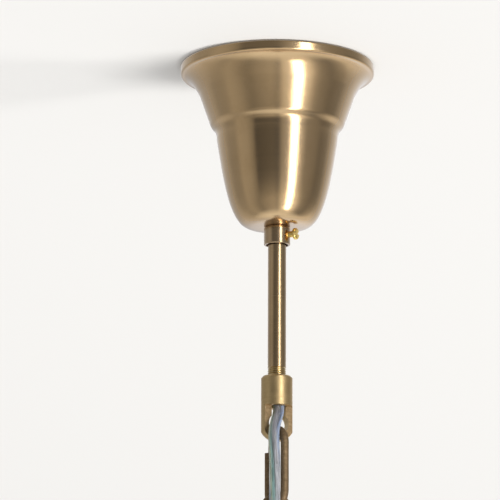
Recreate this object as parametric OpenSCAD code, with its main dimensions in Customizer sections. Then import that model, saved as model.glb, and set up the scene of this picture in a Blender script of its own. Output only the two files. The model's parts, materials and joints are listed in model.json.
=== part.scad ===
// Ceiling suspension of a rise and fall pendant.
// The ceiling plane is z = 0, the origin is the middle of the bracket, and everything hangs below.

/* [Canopy cup] */
// Radius of the rim that meets the ceiling
rim_r = 53.4; // [50:0.1:58]
// Height of the upright lip of the rim
lip_h = 5.1; // [4:0.1:7]
// Thickness of the spun sheet
cup_wall = 1.0; // [0.6:0.1:1.6]
// Radius under the lip's cove, where the straight flare starts
flare_r = 42.75; // [39:0.05:44]
// Radius of the flare where it meets the step
step_r = 36.75; // [35:0.05:38]
// Depth of the step below the ceiling
step_z = 33.2; // [28:0.1:40]
// Radius of the lower bell at its top
bell_r = 34.2; // [31:0.1:34.6]
// Height of the whole cup
cup_h = 91.1; // [80:0.1:110]

/* [Collar and clamp screw] */
// Outer radius of the collar
collar_r = 7.2; // [6.8:0.1:9]
// Height of the collar
collar_h = 9.7; // [8:0.1:16]
// Clearance of the collar's bore round the stem
collar_gap = 0.05; // [0.03:0.01:0.1]
// Radius of the recess in the collar's lower end
collar_recess_r = 6.1; // [5.8:0.1:6.5]
// Depth of that recess
collar_recess_h = 2.0; // [1:0.1:3]
// Gap between the collar and the cup that rests on it
seat_gap = 0.2; // [0.2:0.05:0.4]
// Radius of the collar's spigot inside the cup's bottom hole
spigot_r = 6.2; // [6:0.1:6.5]
// Shank radius of the clamp screw
screw_r = 1.75; // [1.5:0.05:2]
// Head radius of the clamp screw
screw_head_r = 3.2; // [2.6:0.1:3.6]
// Thickness of the clamp screw's head
screw_head_h = 2.0; // [1.6:0.1:3]
// Gap between the collar and the underside of the screw's head
screw_out = 3.0; // [2:0.1:6]
// Direction of the clamp screw, in degrees from the right towards the front
screw_turn = 25; // [0:1:60]

/* [Stem] */
// Outer radius of the stem tube
stem_r = 5.0; // [5:0.1:5.6]
// Wall of the stem tube
stem_wall = 1.0; // [0.6:0.1:1.2]
// Depth of the stem's upper end below the ceiling
stem_top_z = 12; // [11:0.5:14]
// Depth of the shoulder where the plain tube ends and the lower thread starts
stem_shoulder_z = 169.9; // [150:0.1:190]
// Length of thread that shows above the loop
thread_show = 4.5; // [3:0.5:8]
// Length of the stem inside the loop
thread_in = 10; // [8:0.5:12]
// Pitch of the threads
pitch = 1.0; // [0.75:0.25:1.5]
// Length of the upper thread
thread_top_h = 20; // [18:1:26]
// Depth of the threads
thread_depth = 0.45; // [0.3:0.05:0.6]

/* [Suspension loops] */
// Radius of the loop's body
loop_r = 8.5; // [8:0.1:10]
// Length of the round body above the flats
loop_body_h = 16.6; // [14:0.1:22]
// Distance from the flats' shoulder to the centre of the chain eye
eye_drop = 9.7; // [9:0.1:14]
// Radius of the chain eye
eye_r = 5.6; // [5.2:0.1:6.4]
// Thickness of the bar under the eye
bar_h = 4.0; // [3.2:0.1:5]
// Thickness of the tab between the flats
tab_t = 6.0; // [5:0.1:7]
// Rounding of the bar's upper edges
bar_round = 2.4; // [1.8:0.1:2.5]
// Chamfer of the loop's outer edge at the stem
loop_chamfer = 1.0; // [0.4:0.1:1.5]
// Direction that the flats face, in degrees from the front towards the right
tab_turn = 20; // [0:1:40]

/* [Chain] */
// Radius of the link wire
wire_r = 2.2; // [1.6:0.1:2.3]
// Half of the link's width, to the middle of its wire
link_half_w = 8.5; // [8:0.1:10]
// Length of the link's straight arms
arm_h = 25; // [18:0.5:32]
// Running gap between links
link_gap = 0.3; // [0.2:0.05:0.4]
// Width of the slit in an open link
slit = 0.7; // [0.4:0.1:1.5]
// Angle by which the first link's rear bow is sprung aside
bow_spring = 14; // [0:1:16]
// Direction of the first link's plane, in degrees from the front towards the right
link_turn = 30; // [20:1:40]

/* [Nipple] */
// Length of the lower nipple outside the loop
nipple_out = 8; // [6:0.5:14]
// Length of the lower nipple inside the loop
nipple_in = 9; // [7:0.5:10]

/* [Bracket] */
// Thickness of the bracket's strip
strip_t = 2.0; // [1.5:0.1:2.2]
// Width of the strip
strip_w = 22; // [20:0.5:26]
// Half of the distance across the bracket's feet
foot_reach = 42; // [40:0.5:44]
// Depth of the bridge's upper face below the ceiling
bridge_z = 20; // [20:0.5:22]
// Half of the bridge's length
bridge_half = 18; // [17:0.5:19]
// Distance between the middles of the ceiling slots
slot_spacing = 60; // [58:0.5:62]
// Length of each ceiling slot
slot_l = 14; // [8:0.5:15]
// Width of each ceiling slot
slot_w = 4.8; // [4:0.1:6]
// Height of the terminal tab below the bridge's upper face
tab_h = 24; // [22:0.5:25]
// Clearance of the stem hole in the bridge
bridge_gap = 0.1; // [0.05:0.05:0.3]

/* [Fasteners] */
// Width across flats of the stem's lock nuts
nut_af = 14; // [13:0.5:15]
// Thickness of a lock nut
nut_h = 4; // [3:0.5:4.5]
// Thickness of the serrated washer
washer_t = 0.8; // [0.5:0.1:1.2]
// Outer radius of the serrated washer
washer_r = 8.6; // [8:0.1:10]
// Shank radius of the earth screw
earth_r = 2.0; // [1.5:0.1:2.2]
// Head radius of the earth screw
earth_head_r = 3.8; // [3:0.1:4]
// Thickness of the earth tag
tag_t = 0.8; // [0.5:0.1:1]
// Depth of the earth screw's axis below the ceiling
earth_z = 11; // [10:0.5:12]

/* [Terminal block] */
// Distance between neighbouring poles
pole_pitch = 11; // [10.5:0.5:11.5]
// Length of the block along its wires
block_h = 18; // [16:0.5:19]
// Thickness of the block's base
block_base_t = 4; // [3:0.5:5]
// Radius of a pole's barrel
barrel_r = 3.0; // [2.8:0.1:3.2]
// Outer radius of a brass insert
insert_r = 2.3; // [2.1:0.1:2.5]
// Wall of a brass insert
insert_wall = 0.8; // [0.6:0.1:0.9]
// Shank radius of a terminal screw
term_r = 1.15; // [1:0.05:1.3]
// Radius of the screws that hold the block
block_screw_r = 1.2; // [1:0.05:1.4]

/* [Flex] */
// Radius of the flex's sheath
flex_r = 3.0; // [2.5:0.1:3]
// Radius of a core
core_r = 1.1; // [0.8:0.05:1.1]

/* [Hidden] */
$fn = 64;
fit = 0.05;
cut = 1;

// Derived places, as depths below the ceiling
stem_bore_r = stem_r - stem_wall;
thread_r = stem_r - 0.05;
nipple_r = thread_r - 0.05;
loop_top_z = stem_shoulder_z + thread_show;
stem_end_z = loop_top_z + thread_in;
ledge_z = loop_top_z + loop_body_h;
eye_z = ledge_z + eye_drop;
bar_top_z = eye_z + eye_r;
end_r = eye_r + bar_h;
collar_top_z = cup_h + seat_gap;
collar_bore_r = stem_r + collar_gap;
link_h = arm_h + 2 * link_half_w;
crown_1_z = bar_top_z - link_gap - wire_r;
link_pitch = link_h - 2 * wire_r - link_gap;
crown_2_z = crown_1_z + link_pitch;
crown_3_z = crown_2_z + link_pitch;
lower_bar_z = crown_3_z + link_h - link_gap - wire_r;
mirror_z = (bar_top_z + lower_bar_z) / 2;
lower_end_z = 2 * mirror_z - loop_top_z;
bush_flange_t = 0.8;
bush_len = 5;
bend_in = 1;
bend_out = bend_in + strip_t;
tab_y = strip_w / 2 + bend_in;
block_half_w = pole_pitch + 4;
tab_half_w = block_half_w - 2;
block_top_z = bridge_z + 4;
block_mid_z = block_top_z + block_h / 2;
pole_y = tab_y + strip_t + block_base_t + 1.5;
chimney_out = 6.5;
chimney_r = 2.4;
chimney_dz = 5;
earth_head_h = 2.4;
earth_nut_h = 3.2;
earth_nut_af = 7;
leg_in_x = bridge_half - strip_t;
tag_slope = 25;
tag_ring_r = 3.9;
tag_barrel_r = 1.9;
tag_x = leg_in_x - tag_barrel_r;

// Colours
brass_satin = [0.62, 0.53, 0.39];
brass_dark = [0.42, 0.35, 0.25];
brass_raw = [0.60, 0.51, 0.33];
brass_polished = [0.82, 0.62, 0.22];
bronze = [0.48, 0.40, 0.31];
steel = [0.74, 0.75, 0.76];
clear_sheath = [0.80, 0.83, 0.86];

// Places along the flex, as [x, y, depth]; the lower half mirrors the upper half
mid_1_z = crown_1_z + link_h / 2;
flex_start_z = ledge_z - 10;
drop_out_x = -1.1;
drop_out_y = -9.9;
drop_1_route = [
    [0, 0, ledge_z - 10], [0.3, -0.2, ledge_z - 7], [0.8, -0.55, ledge_z - 4],
    [1.1, -1.05, ledge_z - 0.8], [0.95, -2.3, ledge_z + 2.5], [0.4, -4.3, ledge_z + 6],
    [-0.5, -6.7, ledge_z + 9.6], [-1.3, -8.65, ledge_z + 13.5], [-1.6, -9.6, ledge_z + 18],
    [-1.5, drop_out_y, ledge_z + 23.5], [-1.2, drop_out_y, ledge_z + 28.5], [drop_out_x, drop_out_y, mid_1_z]
];
drop_2_route = [
    [drop_out_x, drop_out_y, mid_1_z], [drop_out_x, drop_out_y, (mid_1_z + mirror_z) / 2],
    [drop_out_x, drop_out_y, mirror_z]
];
// Places along the cores inside the cup
live_route = [
    [-1.2, 0.75, 16], [-1.2, 0.9, 11], [-2.2, 2.8, 7], [-4.6, 6.8, 4.6], [-7.4, 11.6, 4.2],
    [0.3 - pole_pitch, pole_y - 3.4, 6.0], [-pole_pitch, pole_y - 0.8, 10.5], [-pole_pitch, pole_y, 17],
    [-pole_pitch, pole_y, block_mid_z]
];
neutral_route = [for (p = live_route) [-p[0], p[1], p[2]]];
earth_route = [
    [0, -1.4, 16], [0, -1.5, 11], [0.8, -3.0, 7.4], [3.4, -6.2, 4.6], [7.4, -10.2, 4.0],
    [10.8, -13.0, 4.1], [13.2, -13.6, 4.7], [tag_x, -12.2, 5.3], [tag_x, -9.9, 6.4], [tag_x, -7.0, 7.75]
];
core_sides = 8;
flex_sides = 12;

// ---------- helpers ----------

// A point of a quadratic curve
function curve_at(a, b, c, t) = (1 - t) * (1 - t) * a + 2 * t * (1 - t) * b + t * t * c;
function curve(a, b, c, n) = [for (i = [0:n]) curve_at(a, b, c, i / n)];
function unit(v) = v / norm(v);
// Shifts the points of an open outline sideways by d
function shifted(p, d) = [
    for (i = [0:len(p) - 1])
        let(t = unit(p[min(i + 1, len(p) - 1)] - p[max(i - 1, 0)])) p[i] + d * [t[1], -t[0]]
];
function reversed(p) = [for (i = [len(p) - 1:-1:0]) p[i]];
// Turns a depth into a height
function hung(route) = [for (p = route) [p[0], p[1], -p[2]]];
// Mirrors a route about the middle of the chain
function mirrored(route) = [for (p = reversed(route)) [p[0], p[1], 2 * mirror_z - p[2]]];

// A round tube swept along points: ring i lies in the plane square to the route
module swept(points, r, sides) {
    n = len(points);
    tangents = [for (i = [0:n - 1]) unit(points[min(i + 1, n - 1)] - points[max(i - 1, 0)])];
    rings = [
        for (i = [0:n - 1])
            let(t = i == 0 || i == n - 1 ? end_tangent(points, i) : tangents[i])
            let(u = unit(cross([1, 0, 0], t)), v = cross(t, u))
            [for (k = [0:sides - 1]) points[i] + r * (cos(360 * k / sides) * u + sin(360 * k / sides) * v)]
    ];
    polyhedron(
        points = [for (ring = rings) each ring],
        faces = concat(
            [[for (k = [sides - 1:-1:0]) k]],
            [
                for (i = [0:n - 2], k = [0:sides - 1])
                    each [
                        [i * sides + k, i * sides + (k + 1) % sides, (i + 1) * sides + (k + 1) % sides],
                        [i * sides + k, (i + 1) * sides + (k + 1) % sides, (i + 1) * sides + k]
                    ]
            ],
            [[for (k = [0:sides - 1]) (n - 1) * sides + k]]
        ),
        convexity = 6
    );
}

// The ends are cut square to the vertical where the first or last stretch is nearly upright
function end_tangent(points, i) =
    let(t = unit(i == 0 ? points[1] - points[0] : points[i] - points[i - 1]))
    abs(t[2]) > 0.98 ? [0, 0, sign(t[2])] : t;

// A thread's outline, as rings from depth a to depth b on an outer radius
function thread_outline(a, b, r) = [
    for (i = [0:floor((b - a) / pitch) - 1])
        each [[r - thread_depth, -a - i * pitch], [r, -a - (i + 0.35) * pitch], [r, -a - (i + 0.65) * pitch]]
];

module hex_nut(af, h, bore_r) {
    corner = af / 2 / cos(30);
    difference() {
        intersection() {
            cylinder(r = corner, h = h, $fn = 6);
            // the corners are bevelled at both faces
            rotate_extrude() polygon([
                [0, 0], [af / 2, 0], [corner + 0.1, (corner + 0.1 - af / 2) * 0.6],
                [corner + 0.1, h - (corner + 0.1 - af / 2) * 0.6], [af / 2, h], [0, h]
            ]);
        }
        translate([0, 0, -cut]) cylinder(r = bore_r, h = h + 2 * cut);
    }
}

// A quarter of a bend in a strip: inner radius 1, in the plane of the profile
module bend_profile(turn) {
    rotate(turn) intersection() {
        difference() {
            circle(r = bend_in + strip_t);
            circle(r = bend_in);
        }
        square(2 * (bend_in + strip_t));
    }
}

// ---------- bracket and its fasteners ----------

module strip_side_profile() {
    // from the middle of the bridge to one foot, in the plane of x and height
    translate([0, -bridge_z - strip_t]) square([bridge_half - bend_out, strip_t]);
    translate([bridge_half - bend_out, -bridge_z - strip_t + bend_out]) bend_profile(-90);
    translate([bridge_half - strip_t, -bridge_z - strip_t + bend_out])
        square([strip_t, bridge_z + strip_t - 2 * bend_out]);
    translate([bridge_half + bend_in, -bend_out]) bend_profile(90);
    translate([bridge_half + bend_in, -strip_t]) square([foot_reach - bridge_half - bend_in, strip_t]);
}

module ceiling_slot() {
    half = (slot_l - slot_w) / 2;
    for (s = [-1, 1])
        translate([s * half, 0, -strip_t - cut]) cylinder(d = slot_w, h = strip_t + 2 * cut);
    translate([-half, -slot_w / 2, -strip_t - cut]) cube([2 * half, slot_w, strip_t + 2 * cut]);
}

module ceiling_bracket() {
    color(steel) difference() {
        union() {
            translate([0, strip_w / 2, 0]) rotate([90, 0, 0]) linear_extrude(strip_w) strip_side_profile();
            mirror([1, 0, 0])
                translate([0, strip_w / 2, 0]) rotate([90, 0, 0]) linear_extrude(strip_w) strip_side_profile();
            // the terminal tab is bent down from the bridge's rear edge
            translate([-tab_half_w, strip_w / 2, -bridge_z - bend_out])
                rotate([90, 0, 90]) linear_extrude(2 * tab_half_w) bend_profile(0);
            translate([-tab_half_w, tab_y, -bridge_z - tab_h])
                cube([2 * tab_half_w, strip_t, tab_h - bend_out]);
        }
        translate([0, 0, -bridge_z - strip_t - cut])
            cylinder(r = stem_r + bridge_gap, h = strip_t + 2 * cut);
        for (s = [-1, 1]) translate([s * slot_spacing / 2, 0, 0]) ceiling_slot();
        // earth screw hole in the right leg
        translate([bridge_half - strip_t - cut, 0, -earth_z]) rotate([0, 90, 0])
            cylinder(r = earth_r + fit, h = strip_t + 2 * cut);
        for (s = [-1, 1])
            translate([s * pole_pitch / 2, tab_y - cut, -block_mid_z]) rotate([-90, 0, 0])
                cylinder(r = block_screw_r + fit, h = strip_t + 2 * cut);
    }
}

module lock_nut_upper() {
    color(brass_raw) translate([0, 0, -bridge_z]) hex_nut(nut_af, nut_h, stem_r + fit);
}

module lock_washer() {
    teeth = 12;
    color(steel) difference() {
        translate([0, 0, -bridge_z - strip_t - washer_t]) difference() {
            cylinder(r = washer_r, h = washer_t);
            translate([0, 0, -cut]) cylinder(r = stem_r + 0.2, h = washer_t + 2 * cut);
        }
        for (i = [0:teeth - 1])
            rotate([0, 0, i * 360 / teeth])
                translate([washer_r - 0.4, 0, -bridge_z - strip_t - washer_t - cut])
                    cylinder(r = 1.1, h = washer_t + 2 * cut, $fn = 16);
    }
}

module lock_nut_lower() {
    color(brass_raw) translate([0, 0, -bridge_z - strip_t - washer_t - nut_h])
        rotate([0, 0, 15]) hex_nut(nut_af, nut_h, stem_r + fit);
}

module earth_screw() {
    head_x = leg_in_x - tag_t - earth_head_h;
    color(brass_polished) difference() {
        translate([head_x, 0, -earth_z]) rotate([0, 90, 0]) union() {
            rotate_extrude() polygon(concat(
                [[0, earth_head_h], [earth_head_r, earth_head_h]],
                curve([earth_head_r, 1.2], [earth_head_r, 0.1], [earth_head_r - 1.6, 0], 5),
                [[0, 0]]
            ));
            cylinder(r = earth_r, h = earth_head_h + tag_t + strip_t + earth_nut_h + 1);
        }
        translate([head_x - cut, -earth_head_r - cut, -earth_z - 0.45])
            cube([cut + 1.1, 2 * (earth_head_r + cut), 0.9]);
    }
}

module earth_nut() {
    color(steel) translate([bridge_half, 0, -earth_z]) rotate([0, 90, 0])
        hex_nut(earth_nut_af, earth_nut_h, earth_r + fit);
}

module earth_tag() {
    color(steel) translate([leg_in_x - tag_t, 0, -earth_z]) rotate([-tag_slope, 0, 0]) difference() {
        union() {
            rotate([0, 90, 0]) cylinder(r = tag_ring_r, h = tag_t);
            translate([0, -7, -1.6]) cube([tag_t, 6, 3.2]);
            translate([tag_t - tag_barrel_r, -6, 0]) rotate([90, 0, 0]) cylinder(r = tag_barrel_r, h = 4.6);
        }
        translate([-cut, 0, 0]) rotate([0, 90, 0]) cylinder(r = earth_r + 0.1, h = tag_t + 2 * cut);
        translate([tag_t - tag_barrel_r, -5.4, 0]) rotate([90, 0, 0]) cylinder(r = core_r + fit, h = 6);
        translate([tag_t, -20, -10]) cube([5, 25, 20]);
    }
}

// ---------- terminal block ----------

module at_poles() {
    for (i = [-1:1]) translate([i * pole_pitch, pole_y, -block_mid_z]) children();
}

module at_term_screws() {
    at_poles() for (s = [-1, 1]) translate([0, 0, s * chimney_dz]) rotate([-90, 0, 0]) children();
}

module terminal_block() {
    color([0.93, 0.93, 0.90]) difference() {
        union() {
            translate([-block_half_w, tab_y + strip_t, -block_top_z - block_h])
                cube([2 * block_half_w, block_base_t, block_h]);
            at_poles() translate([0, 0, -block_h / 2]) cylinder(r = barrel_r, h = block_h);
            at_poles() translate([-barrel_r, -1.5, -block_h / 2]) cube([2 * barrel_r, 1.5, block_h]);
            at_term_screws() cylinder(r = chimney_r, h = chimney_out);
        }
        at_poles() translate([0, 0, -block_h / 2 - cut]) cylinder(r = insert_r + fit, h = block_h + 2 * cut);
        at_term_screws() cylinder(r = term_r + 0.5, h = chimney_out + cut);
        for (s = [-1, 1])
            translate([s * pole_pitch / 2, tab_y + strip_t - cut, -block_mid_z]) rotate([-90, 0, 0])
                cylinder(r = block_screw_r + 0.1, h = block_base_t + 2 * cut);
    }
}

module terminal_inserts() {
    color(brass_raw) difference() {
        at_poles() translate([0, 0, -block_h / 2 + 1]) cylinder(r = insert_r, h = block_h - 2);
        at_poles() translate([0, 0, -block_h / 2]) cylinder(r = insert_r - insert_wall, h = block_h);
        at_term_screws() cylinder(r = term_r + fit, h = insert_r + cut);
    }
}

module terminal_screws() {
    tip = core_r + fit;
    head = insert_r + 0.6;
    color(steel) at_term_screws() difference() {
        union() {
            translate([0, 0, tip]) cylinder(r = term_r, h = head - tip);
            translate([0, 0, head]) cylinder(r = term_r + 0.4, h = 2);
        }
        translate([-2, -0.3, head + 1.2]) cube([4, 0.6, 2]);
    }
}

module block_screws() {
    seat_y = tab_y + strip_t + block_base_t;
    color(steel) for (s = [-1, 1])
        translate([s * pole_pitch / 2, seat_y, -block_mid_z]) rotate([-90, 0, 0]) difference() {
            union() {
                cylinder(r = block_screw_r + 0.95, h = 1.4);
                translate([0, 0, -block_base_t - strip_t - 1.5])
                    cylinder(r = block_screw_r, h = block_base_t + strip_t + 1.5);
            }
            translate([-3, -0.3, 0.7]) cube([6, 0.6, 2]);
        }
}

// ---------- stem, bush and flex inside ----------

module stem_bush() {
    bore = flex_r + 0.1;
    color([0.92, 0.91, 0.86]) translate([0, 0, -stem_top_z]) difference() {
        union() {
            translate([0, 0, -bush_len]) cylinder(r = stem_bore_r - fit, h = bush_len);
            cylinder(r = stem_r + 0.4, h = bush_flange_t);
        }
        translate([0, 0, -bush_len - cut]) cylinder(r = bore, h = bush_len + bush_flange_t + 2 * cut);
    }
}

module stem_tube() {
    top_thread_end = stem_top_z + thread_top_h;
    color(brass_dark) rotate_extrude() polygon(concat(
        [[stem_bore_r, -stem_top_z]],
        thread_outline(stem_top_z, top_thread_end, thread_r),
        [[thread_r - thread_depth, -top_thread_end - 0.2], [stem_r, -top_thread_end - 0.8]],
        [[stem_r, -stem_shoulder_z + 0.3], [stem_r - 0.3, -stem_shoulder_z]],
        thread_outline(stem_shoulder_z + 0.2, stem_end_z, thread_r),
        [[thread_r - thread_depth, -stem_end_z], [stem_bore_r, -stem_end_z]]
    ));
}

module flex_stem() {
    color(clear_sheath) translate([0, 0, -flex_start_z]) cylinder(r = flex_r, h = flex_start_z - stem_top_z - 1.5);
}

module core_live() {
    color([0.45, 0.28, 0.18]) swept(hung(live_route), core_r, core_sides);
}

module core_neutral() {
    color([0.15, 0.35, 0.75]) swept(hung(neutral_route), core_r, core_sides);
}

module core_earth() {
    color([0.55, 0.68, 0.25]) swept(hung(earth_route), core_r, core_sides);
}

// ---------- loops ----------

// One threaded loop, as it hangs under the stem; its body starts at depth loop_top_z
module threaded_loop() {
    tab_w = 2 * end_r;
    rotate([0, 0, tab_turn]) difference() {
        union() {
            rotate_extrude() polygon([
                [0, -loop_top_z], [loop_r - loop_chamfer, -loop_top_z], [loop_r, -loop_top_z - loop_chamfer],
                [loop_r, -ledge_z], [0, -ledge_z]
            ]);
            intersection() {
                // the turned blank, with its round end
                union() {
                    translate([0, 0, -eye_z]) cylinder(r = loop_r, h = eye_z - ledge_z + cut);
                    intersection() {
                        translate([0, 0, -eye_z]) rotate_extrude() difference() {
                            circle(r = end_r);
                            translate([-2 * end_r, -2 * end_r]) square([2 * end_r, 4 * end_r]);
                        }
                        translate([0, 0, -eye_z - end_r]) cylinder(r = loop_r, h = 2 * end_r);
                    }
                }
                // what the two milled flats leave
                translate([-tab_w / 2, -tab_t / 2, -eye_z - end_r - cut])
                    cube([tab_w, tab_t, eye_z + end_r - ledge_z + 2 * cut]);
            }
        }
        // bore for the stem and the flex, down to the eye
        translate([0, 0, -eye_z]) cylinder(r = stem_r, h = eye_z - loop_top_z + cut);
        // chain eye
        translate([0, tab_w, -eye_z]) rotate([90, 0, 0]) cylinder(r = eye_r, h = 2 * tab_w);
        // rounded upper edges of the bar
        for (s = [-1, 1]) bar_edge_cut(s);
    }
}

module bar_edge_cut(side) {
    half = eye_r * 0.72;
    mid_y = side * (tab_t / 2 - bar_round);
    far_y = side * (tab_t / 2 + cut);
    difference() {
        translate([-half, min(mid_y, far_y), -bar_top_z - bar_round])
            cube([2 * half, bar_round + cut, bar_round + cut]);
        translate([-half - cut, mid_y, -bar_top_z - bar_round]) rotate([0, 90, 0])
            cylinder(r = bar_round, h = 2 * half + 2 * cut);
    }
}

module suspension_loop() {
    color(brass_raw) threaded_loop();
}

module lower_loop() {
    color(brass_raw) translate([0, 0, -2 * mirror_z]) mirror([0, 0, 1]) threaded_loop();
}

module lower_nipple() {
    color(brass_raw) rotate_extrude() polygon(concat(
        [[stem_bore_r, -lower_end_z + nipple_in]],
        [[thread_r - thread_depth, -lower_end_z + nipple_in]],
        thread_outline(lower_end_z - nipple_in + 0.2, lower_end_z, thread_r),
        [[nipple_r, -lower_end_z - 0.2], [nipple_r, -lower_end_z - nipple_out + 0.4]],
        [[nipple_r - 0.4, -lower_end_z - nipple_out], [stem_bore_r, -lower_end_z - nipple_out]]
    ));
}

// ---------- chain ----------

// Half a link: one arm and half of each bow, on the side of +x, hanging from the crown at the origin
module half_link(gap_at) {
    translate([0, 0, -link_half_w]) rotate([90, 0, 0]) rotate_extrude(angle = 90)
        translate([link_half_w, 0]) circle(r = wire_r, $fn = 32);
    translate([0, 0, link_half_w - link_h]) rotate([90, 0, 0]) rotate([0, 0, -90]) rotate_extrude(angle = 90)
        translate([link_half_w, 0]) circle(r = wire_r, $fn = 32);
    difference() {
        translate([link_half_w, 0, -link_half_w - arm_h]) cylinder(r = wire_r, h = arm_h, $fn = 32);
        translate([0, -2 * wire_r, -gap_at - slit / 2]) cube([2 * link_half_w, 4 * wire_r, slit]);
    }
}

module plain_link(crown_z, turn) {
    translate([0, 0, -crown_z]) rotate([0, 0, turn - 90]) {
        half_link(link_half_w + arm_h / 2);
        mirror([1, 0, 0]) half_link(-1000);
    }
}

// The first link: the rear half of its crown is sprung aside, and its rear arm is slit just below the crown
module chain_link_1() {
    slit_z = link_half_w + 2.7;
    color(bronze) translate([0, 0, -crown_1_z]) rotate([0, 0, link_turn - 90]) {
        half_link(-1000);
        mirror([1, 0, 0]) difference() {
            half_link(slit_z);
            translate([-cut, -link_half_w, -slit_z]) cube([3 * link_half_w, 2 * link_half_w, 2 * link_half_w]);
        }
        sphere(r = wire_r, $fn = 32);
        mirror([1, 0, 0]) rotate([0, 0, bow_spring]) intersection() {
            half_link(slit_z);
            translate([-cut, -link_half_w, -slit_z]) cube([3 * link_half_w, 2 * link_half_w, 2 * link_half_w]);
        }
    }
}

module chain_link_2() {
    color(bronze) plain_link(crown_2_z, link_turn + 90);
}

module chain_link_3() {
    color(bronze) plain_link(crown_3_z, link_turn);
}

// ---------- flex below the stem ----------

module flex_drop_1() {
    color(clear_sheath) swept(hung(drop_1_route), flex_r, flex_sides);
}

module flex_drop_2() {
    color(clear_sheath) swept(hung(drop_2_route), flex_r, flex_sides);
}

module flex_drop_3() {
    color(clear_sheath) swept(hung(mirrored(drop_2_route)), flex_r, flex_sides);
}

module flex_drop_4() {
    color(clear_sheath) swept(hung(mirrored(drop_1_route)), flex_r, flex_sides);
}

module flex_tail() {
    start = 2 * mirror_z - flex_start_z;
    end = lower_end_z + nipple_out - 3;
    color(clear_sheath) translate([0, 0, -end]) cylinder(r = flex_r, h = end - start);
}

// ---------- canopy ----------

cove_h = 10.9;
bell_power = 5.83;
bell_fall = 0.76;
bell_top_z = step_z + 3.8;
cup_hole_r = spigot_r + fit;

// A point of the lower bell's outline: t runs from 0 at its top to 1 at its bottom
function bell_point(t) = [
    bell_r * pow(max(1 - pow(t, bell_fall), 0), 1 / (bell_power + 0.6 * pow(t, 16))),
    -bell_top_z - (cup_h - bell_top_z) * t
];

// The outer outline of the cup, from the rim down to the bottom hole
function cup_outline() = concat(
    [[rim_r - 0.7, 0]],
    curve([rim_r - 0.6, -0.3], [rim_r, -0.9], [rim_r, -2.2], 4),
    curve([rim_r, -lip_h + 2.1], [rim_r, -lip_h + 0.15], [rim_r - 1.4, -lip_h], 4),
    curve([rim_r - 2.1, -lip_h - 0.1], [flare_r + 4.6, -lip_h - 1.3], [flare_r, -lip_h - cove_h], 12),
    curve([step_r + 0.2, -step_z + 0.6], [step_r - 0.15, -step_z - 0.5], [step_r - 1.4, -step_z - 1.7], 5),
    curve([step_r - 1.9, -step_z - 2.3], [bell_r - 0.9, -bell_top_z], bell_point(0.09), 7),
    [for (i = [3:30]) bell_point(sin(i * 3))],
    [[cup_hole_r + 3, -cup_h], [cup_hole_r, -cup_h]]
);

module canopy_cup() {
    outer = [for (p = cup_outline()) if (p[0] >= cup_hole_r) p];
    color(brass_satin) rotate_extrude($fn = 128) polygon(concat(
        outer,
        reversed([for (p = shifted(outer, cup_wall)) [max(p[0], cup_hole_r), min(p[1], 0)]])
    ));
}

// ---------- collar and clamp screw ----------

screw_z = collar_top_z + collar_h / 2 - 0.5;

module canopy_collar() {
    round_r = 0.9;
    bottom = -collar_top_z - collar_h;
    color(brass_dark) difference() {
        rotate_extrude() polygon(concat(
            [[collar_bore_r, -collar_top_z + cup_wall + 0.6], [spigot_r, -collar_top_z + cup_wall + 0.6]],
            [[spigot_r, -collar_top_z]],
            curve([collar_r - round_r, -collar_top_z], [collar_r, -collar_top_z], [collar_r, -collar_top_z - round_r], 6),
            [[collar_r, bottom + 0.3], [collar_r - 0.3, bottom], [collar_recess_r, bottom]],
            [[collar_recess_r, bottom + collar_recess_h], [collar_bore_r, bottom + collar_recess_h]]
        ));
        translate([0, 0, -screw_z]) rotate([0, 0, -screw_turn]) rotate([0, 90, 0])
            cylinder(r = screw_r + fit, h = collar_r + cut);
    }
}

module clamp_screw() {
    tip = stem_r + fit;
    head = collar_r + screw_out;
    color(brass_polished) translate([0, 0, -screw_z]) rotate([0, 0, -screw_turn]) rotate([0, 90, 0])
        difference() {
            union() {
                translate([0, 0, tip]) cylinder(r = screw_r, h = head - tip);
                translate([0, 0, head]) rotate_extrude() polygon(concat(
                    [[0, 0], [screw_head_r - 0.3, 0], [screw_head_r, 0.3]],
                    curve([screw_head_r, screw_head_h - 0.9], [screw_head_r, screw_head_h - 0.1],
                        [screw_head_r - 1.2, screw_head_h], 5),
                    [[0, screw_head_h + 0.15]]
                ));
            }
            rotate([0, 0, 12]) translate([-0.6, -screw_head_r - cut, head + screw_head_h - 1.1])
                cube([1.2, 2 * (screw_head_r + cut), 3]);
        }
}

ceiling_bracket();
lock_nut_upper();
lock_nut_lower();
lock_washer();
earth_screw();
earth_nut();
earth_tag();
terminal_block();
terminal_inserts();
terminal_screws();
block_screws();
stem_bush();
core_live();
core_neutral();
core_earth();
stem_tube();
flex_stem();
suspension_loop();
canopy_cup();
canopy_collar();
clamp_screw();
chain_link_1();
chain_link_2();
chain_link_3();
lower_loop();
lower_nipple();
flex_drop_1();
flex_drop_2();
flex_drop_3();
flex_drop_4();
flex_tail();
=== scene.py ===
"""Ceiling suspension of a rise and fall pendant: spun cup, clamp collar, threaded stem, loop, chain and clear flex.

The scene is in metres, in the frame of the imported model: z = 0 is the ceiling and everything hangs below it. The flex
and the cup hold their sizes in millimetres, and scale them as their meshes are made.
"""

from __future__ import annotations

import json
import logging
import math
from dataclasses import dataclass
from enum import Enum
from typing import Any, Iterable, Sequence

import bmesh
import bpy
from mathutils import Matrix, Vector

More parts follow.
